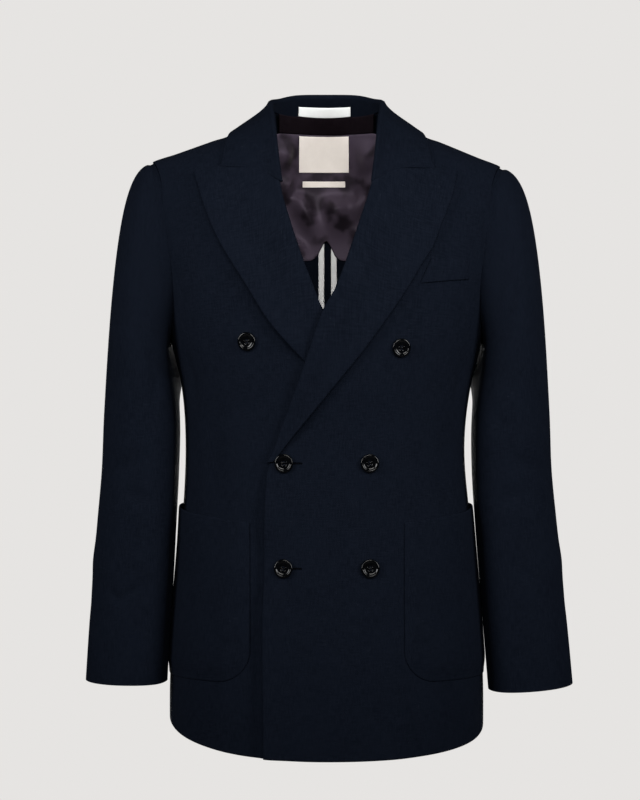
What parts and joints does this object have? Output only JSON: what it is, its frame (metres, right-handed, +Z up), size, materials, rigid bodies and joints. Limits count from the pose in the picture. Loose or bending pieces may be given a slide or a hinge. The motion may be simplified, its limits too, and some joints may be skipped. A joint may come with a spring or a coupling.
{
  "type": "double breasted blazer",
  "caption": "Hollow worn form of a double breasted blazer with peak lapels, patch pockets, a breast welt and a half lined back neck.",
  "frame": {"origin": "base of the neck in the middle of the garment, between the two shoulder lines, where the wearer's shoulders hold it", "axes": "+Z up along the garment's height, -Y out of its front, +X towards the wearer's left sleeve"},
  "size_m": [0.5757, 0.265, 0.7871],
  "materials": {
    "cloth": "matte",
    "satin": "satin",
    "label": "matte",
    "tape": "matte",
    "binding": "satin",
    "resin": "gloss"
  },
  "bodies": {
    "root": {"front_left": "cloth", "front_right": "cloth", "side_left": "cloth", "side_right": "cloth", "back_left": "cloth", "back_right": "cloth", "top_sleeve_left": "cloth", "top_sleeve_right": "cloth", "under_sleeve_left": "cloth", "under_sleeve_right": "cloth", "lapel_left": "cloth", "lapel_right": "cloth", "collar": "cloth", "patch_pocket_left": "cloth", "patch_pocket_right": "cloth", "breast_welt": "cloth", "neck_facing": "cloth", "back_lining": "satin", "label": "label", "strip_label": "label", "hanger_loop": "tape", "seam_binding_left": "binding", "seam_binding_right": "binding", "button_1": "resin", "button_2": "resin", "button_3": "resin", "button_4": "resin", "button_5": "resin", "button_6": "resin"}
  },
  "joints": []
}
